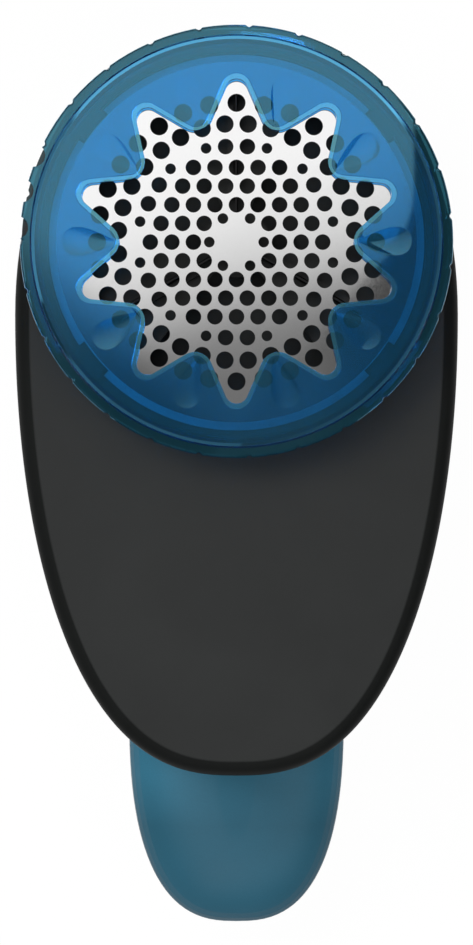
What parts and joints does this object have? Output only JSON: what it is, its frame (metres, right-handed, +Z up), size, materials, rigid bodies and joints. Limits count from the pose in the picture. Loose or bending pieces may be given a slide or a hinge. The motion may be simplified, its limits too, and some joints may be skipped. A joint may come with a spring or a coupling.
{
  "type": "electric fabric shaver",
  "caption": "Handheld battery fabric shaver lying on its back: egg-shaped dark front shell, teal back shell and handle, clear blue head ring with star opening over a steel foil.",
  "frame": {"origin": "on the surface that the shaver lies on, below the middle of its length and width", "axes": "+Z up through the foil, +Y from the handle towards the head, +X to the right when the handle points at the viewer"},
  "size_m": [0.0782, 0.1598, 0.058],
  "materials": {
    "charcoal_plastic": "matt moulded",
    "teal_plastic": "satin moulded",
    "black_plastic": "matt moulded",
    "grey_plastic": "smooth moulded",
    "clear_blue": "polished clear tinted plastic",
    "foil_steel": "satin",
    "blade_steel": "blackened",
    "bright_steel": "plated",
    "brass": "plain",
    "cell_jacket": "printed film, left plain",
    "grey_rubber": "matt",
    "wire_red": "insulation",
    "wire_black": "insulation"
  },
  "bodies": {
    "housing": {"front_shell": "charcoal_plastic", "back_shell": "teal_plastic", "chassis_plate": "black_plastic", "blade_chamber": "black_plastic", "motor_can": "bright_steel", "motor_end_cap": "black_plastic", "motor_screw_1": "blade_steel", "motor_screw_2": "blade_steel", "motor_terminal_1": "brass", "motor_terminal_2": "brass", "shell_screw_1": "bright_steel", "shell_screw_2": "bright_steel", "shell_screw_3": "bright_steel", "shell_screw_4": "bright_steel", "battery_1": "cell_jacket", "battery_2": "cell_jacket", "contact_bridge": "brass", "terminal_plate_1": "brass", "terminal_plate_2": "brass", "contact_spring_1": "bright_steel", "contact_spring_2": "bright_steel", "battery_tray": "black_plastic", "switch_body": "black_plastic", "switch_terminal_1": "brass", "switch_terminal_2": "brass", "wire_battery_switch": "wire_red", "wire_switch_motor": "wire_red", "wire_battery_motor": "wire_black"},
    "rotor": {"motor_shaft": "bright_steel", "drive_hub": "brass", "blade_carrier": "black_plastic", "blade_1": "blade_steel", "blade_2": "blade_steel", "blade_3": "blade_steel", "blade_spring": "bright_steel"},
    "foil_unit": {"foil_frame": "grey_plastic", "foil": "foil_steel"},
    "ring": {"height_ring": "clear_blue"},
    "guard": {"star_guard": "clear_blue"},
    "bin": {"lint_bin": "teal_plastic"},
    "door": {"battery_door": "teal_plastic"},
    "slider": {"switch_slider": "grey_rubber"}
  },
  "joints": [
    {"name": "rotor_spin", "type": "hinge", "parent": "housing", "child": "rotor", "pos_m": [0, 0.04215, 0.05], "axis": [0, 0, 1], "continuous": true},
    {"name": "foil_turn", "type": "hinge", "parent": "housing", "child": "foil_unit", "pos_m": [0, 0.04215, 0.052], "axis": [0, 0, 1], "range_deg": [0, 12]},
    {"name": "height_turn", "type": "hinge", "parent": "housing", "child": "ring", "pos_m": [0, 0.04215, 0.053], "axis": [0, 0, 1], "range_deg": [0, 20]},
    {"name": "guard_lift", "type": "slide", "parent": "housing", "child": "guard", "axis": [0, 0, 1], "range_m": [0, 0.002]},
    {"name": "bin_slide", "type": "slide", "parent": "housing", "child": "bin", "axis": [0, 1, 0], "range_m": [0, 0.03]},
    {"name": "door_slide", "type": "slide", "parent": "housing", "child": "door", "axis": [0, -1, 0], "range_m": [0, 0.014]},
    {"name": "switch_slide", "type": "slide", "parent": "housing", "child": "slider", "axis": [0, 1, 0], "range_m": [0, 0.005]}
  ],
  "couplings": [
    {"joint": "height_turn", "follows": "guard_lift", "rad_per_m": 174.53}
  ]
}
